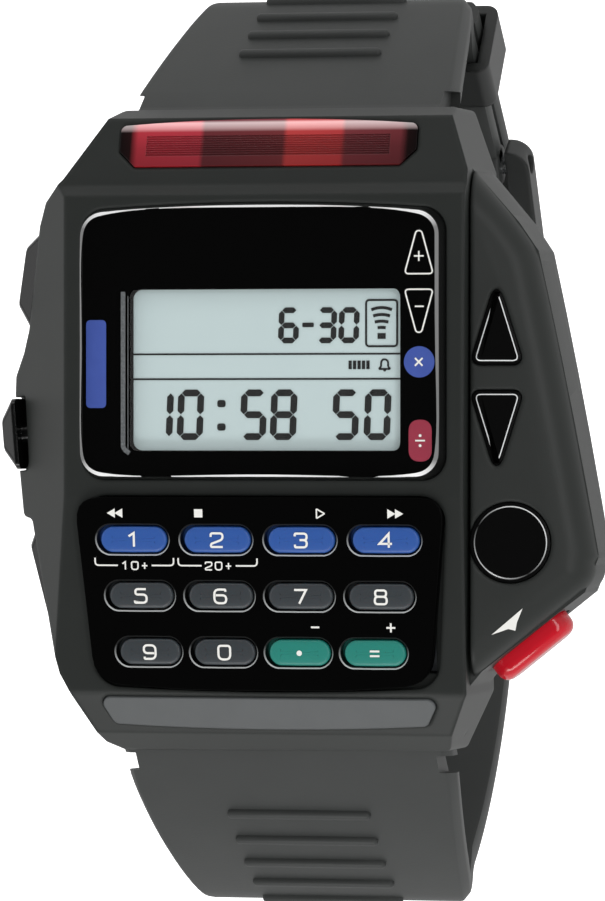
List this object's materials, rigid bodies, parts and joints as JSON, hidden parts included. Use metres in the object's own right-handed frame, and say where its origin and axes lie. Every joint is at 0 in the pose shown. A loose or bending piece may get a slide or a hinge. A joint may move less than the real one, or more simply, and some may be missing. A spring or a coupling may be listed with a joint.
{
  "type": "calculator wrist watch",
  "caption": "Calculator wrist watch on a buckled resin strap, with a display, a keypad, an infrared window and a side wing of remote-control keys.",
  "frame": {"origin": "middle of the case back's outer face", "axes": "+Z out of the display, +Y towards twelve o'clock, +X towards three o'clock, the side of the wing"},
  "size_m": [0.045, 0.0687, 0.0503],
  "materials": {
    "case_resin": "fine satin moulded resin, nearly black grey",
    "trim_resin": "satin grey resin strip",
    "strap_resin": "soft matt strap resin, dark grey",
    "buckle_resin": "hard black resin",
    "black_gloss": "polished black resin",
    "panel_black": "polished black keypad panel",
    "red_gloss": "polished red resin",
    "key_blue": "blue keys with white figures",
    "key_grey": "dark grey keys with white figures",
    "key_teal": "green-blue keys with white marks",
    "crystal": "clear slab with a black printed border",
    "lcd_glass": "liquid crystal cell",
    "ir_red": "dark red infrared window",
    "back_steel": "satin stainless steel",
    "pin_steel": "turned steel",
    "spring_brass": "thin sprung contact metal",
    "black_rubber": "sealing rubber",
    "mat_rubber": "grey silicone key mat",
    "module_plastic": "off-white moulded frame",
    "mask_black": "black printed mask",
    "board_green": "circuit board",
    "chip_black": "chip and diode resin",
    "reflector_silver": "matt silver film"
  },
  "bodies": {
    "case": {"battery": "back_steel", "battery_clip": "back_steel", "battery_contact": "spring_brass", "battery_cradle": "module_plastic", "case_back": "back_steel", "case_back_gasket": "black_rubber", "case_back_screws": "back_steel", "case_body": "case_resin", "circuit_board": "board_green", "contact_leaves": "spring_brass", "controller_chip": "chip_black", "display_gasket": "black_rubber", "display_glass": "crystal", "display_mask": "mask_black", "ir_diode_board": "board_green", "ir_diodes": "chip_black", "ir_receiver": "chip_black", "ir_window": "ir_red", "keypad_mat": "mat_rubber", "keypad_panel": "panel_black", "lcd_panel": "lcd_glass", "lcd_reflector": "reflector_silver", "lower_spring_bar": "pin_steel", "lower_trim": "trim_resin", "module_frame": "module_plastic", "pusher_seals": "black_rubber", "quartz_can": "pin_steel", "upper_spring_bar": "pin_steel", "wing_cover": "case_resin", "wing_key_mat": "mat_rubber", "zebra_connectors": "mat_rubber"},
    "upper_strap_half": {"upper_strap": "strap_resin"},
    "lower_strap_half": {"lower_strap": "strap_resin"},
    "buckle": {"buckle_frame": "buckle_resin", "buckle_pin": "pin_steel"},
    "tang": {"buckle_tang": "pin_steel"},
    "keeper": {"strap_keeper": "strap_resin"},
    "key_0_cap": {"key_0": "key_grey"},
    "key_1_cap": {"key_1": "key_blue"},
    "key_2_cap": {"key_2": "key_blue"},
    "key_3_cap": {"key_3": "key_blue"},
    "key_4_cap": {"key_4": "key_blue"},
    "key_5_cap": {"key_5": "key_grey"},
    "key_6_cap": {"key_6": "key_grey"},
    "key_7_cap": {"key_7": "key_grey"},
    "key_8_cap": {"key_8": "key_grey"},
    "key_9_cap": {"key_9": "key_grey"},
    "key_point_cap": {"key_point": "key_teal"},
    "key_equals_cap": {"key_equals": "key_teal"},
    "volume_up_key_cap": {"volume_up_key": "black_gloss"},
    "volume_down_key_cap": {"volume_down_key": "black_gloss"},
    "source_key_cap": {"source_key": "black_gloss"},
    "set_button": {"set_pusher": "black_gloss", "set_stem_clip": "pin_steel"},
    "select_button": {"select_pusher": "black_gloss", "select_stem_clip": "pin_steel"},
    "mode_button": {"mode_pusher": "black_gloss", "mode_stem_clip": "pin_steel"},
    "power_button": {"power_pusher": "red_gloss", "power_stem_clip": "pin_steel"}
  },
  "joints": [
    {"name": "lower_strap_swing", "type": "hinge", "parent": "case", "child": "lower_strap_half", "pos_m": [0, -0.0216, 0.0036], "axis": [-1, 0, 0], "range_deg": [0, 40], "deforming": ["lower_strap"]},
    {"name": "upper_strap_swing", "type": "hinge", "parent": "case", "child": "upper_strap_half", "pos_m": [0, 0.0216, 0.0032], "axis": [1, 0, 0], "range_deg": [0, 40]},
    {"name": "buckle_swing", "type": "hinge", "parent": "upper_strap_half", "child": "buckle", "pos_m": [0, 0.02074, -0.02742], "axis": [1, 0, 0], "range_deg": [0, 60], "deforming": ["lower_strap"]},
    {"name": "tang_lift", "type": "hinge", "parent": "buckle", "child": "tang", "pos_m": [0, 0.02074, -0.02742], "axis": [1, 0, 0], "range_deg": [0, 40], "deforming": ["lower_strap"]},
    {"name": "keeper_slide", "type": "slide", "parent": "upper_strap_half", "child": "keeper", "axis": [0, -0.6428, -0.766], "range_m": [-0.0012, 0.0012]},
    {"name": "key_0_press", "type": "slide", "parent": "case", "child": "key_0_cap", "axis": [0, 0.1116, -0.9938], "range_m": [0, 0.0004], "stiffness_N_per_m": 500, "deforming": ["keypad_mat"]},
    {"name": "key_1_press", "type": "slide", "parent": "case", "child": "key_1_cap", "axis": [0, 0.1116, -0.9938], "range_m": [0, 0.0004], "stiffness_N_per_m": 500, "deforming": ["keypad_mat"]},
    {"name": "key_2_press", "type": "slide", "parent": "case", "child": "key_2_cap", "axis": [0, 0.1116, -0.9938], "range_m": [0, 0.0004], "stiffness_N_per_m": 500, "deforming": ["keypad_mat"]},
    {"name": "key_3_press", "type": "slide", "parent": "case", "child": "key_3_cap", "axis": [0, 0.1116, -0.9938], "range_m": [0, 0.0004], "stiffness_N_per_m": 500, "deforming": ["keypad_mat"]},
    {"name": "key_4_press", "type": "slide", "parent": "case", "child": "key_4_cap", "axis": [0, 0.1116, -0.9938], "range_m": [0, 0.0004], "stiffness_N_per_m": 500, "deforming": ["keypad_mat"]},
    {"name": "key_5_press", "type": "slide", "parent": "case", "child": "key_5_cap", "axis": [0, 0.1116, -0.9938], "range_m": [0, 0.0004], "stiffness_N_per_m": 500, "deforming": ["keypad_mat"]},
    {"name": "key_6_press", "type": "slide", "parent": "case", "child": "key_6_cap", "axis": [0, 0.1116, -0.9938], "range_m": [0, 0.0004], "stiffness_N_per_m": 500, "deforming": ["keypad_mat"]},
    {"name": "key_7_press", "type": "slide", "parent": "case", "child": "key_7_cap", "axis": [0, 0.1116, -0.9938], "range_m": [0, 0.0004], "stiffness_N_per_m": 500, "deforming": ["keypad_mat"]},
    {"name": "key_8_press", "type": "slide", "parent": "case", "child": "key_8_cap", "axis": [0, 0.1116, -0.9938], "range_m": [0, 0.0004], "stiffness_N_per_m": 500, "deforming": ["keypad_mat"]},
    {"name": "key_9_press", "type": "slide", "parent": "case", "child": "key_9_cap", "axis": [0, 0.1116, -0.9938], "range_m": [0, 0.0004], "stiffness_N_per_m": 500, "deforming": ["keypad_mat"]},
    {"name": "key_point_press", "type": "slide", "parent": "case", "child": "key_point_cap", "axis": [0, 0.1116, -0.9938], "range_m": [0, 0.0004], "stiffness_N_per_m": 500, "deforming": ["keypad_mat"]},
    {"name": "key_equals_press", "type": "slide", "parent": "case", "child": "key_equals_cap", "axis": [0, 0.1116, -0.9938], "range_m": [0, 0.0004], "stiffness_N_per_m": 500, "deforming": ["keypad_mat"]},
    {"name": "volume_up_key_press", "type": "slide", "parent": "case", "child": "volume_up_key_cap", "axis": [-0.2419, 0, -0.9703], "range_m": [0, 0.0004], "stiffness_N_per_m": 500, "deforming": ["wing_key_mat"]},
    {"name": "volume_down_key_press", "type": "slide", "parent": "case", "child": "volume_down_key_cap", "axis": [-0.2419, 0, -0.9703], "range_m": [0, 0.0004], "stiffness_N_per_m": 500, "deforming": ["wing_key_mat"]},
    {"name": "source_key_press", "type": "slide", "parent": "case", "child": "source_key_cap", "axis": [-0.2419, 0, -0.9703], "range_m": [0, 0.0004], "stiffness_N_per_m": 500, "deforming": ["wing_key_mat"]},
    {"name": "set_press", "type": "slide", "parent": "case", "child": "set_button", "axis": [0.9903, -0.1392, 0], "range_m": [0, 0.0006], "stiffness_N_per_m": 800},
    {"name": "select_press", "type": "slide", "parent": "case", "child": "select_button", "axis": [0.9966, 0.0819, 0], "range_m": [0, 0.0006], "stiffness_N_per_m": 800},
    {"name": "mode_press", "type": "slide", "parent": "case", "child": "mode_button", "axis": [0.967, 0.2546, 0], "range_m": [0, 0.0006], "stiffness_N_per_m": 800},
    {"name": "power_press", "type": "slide", "parent": "case", "child": "power_button", "axis": [-0.6252, 0.7804, 0], "range_m": [0, 0.0006], "stiffness_N_per_m": 800}
  ],
  "couplings": [
    {"joint": "upper_strap_swing", "follows": "lower_strap_swing", "ratio": 1}
  ]
}
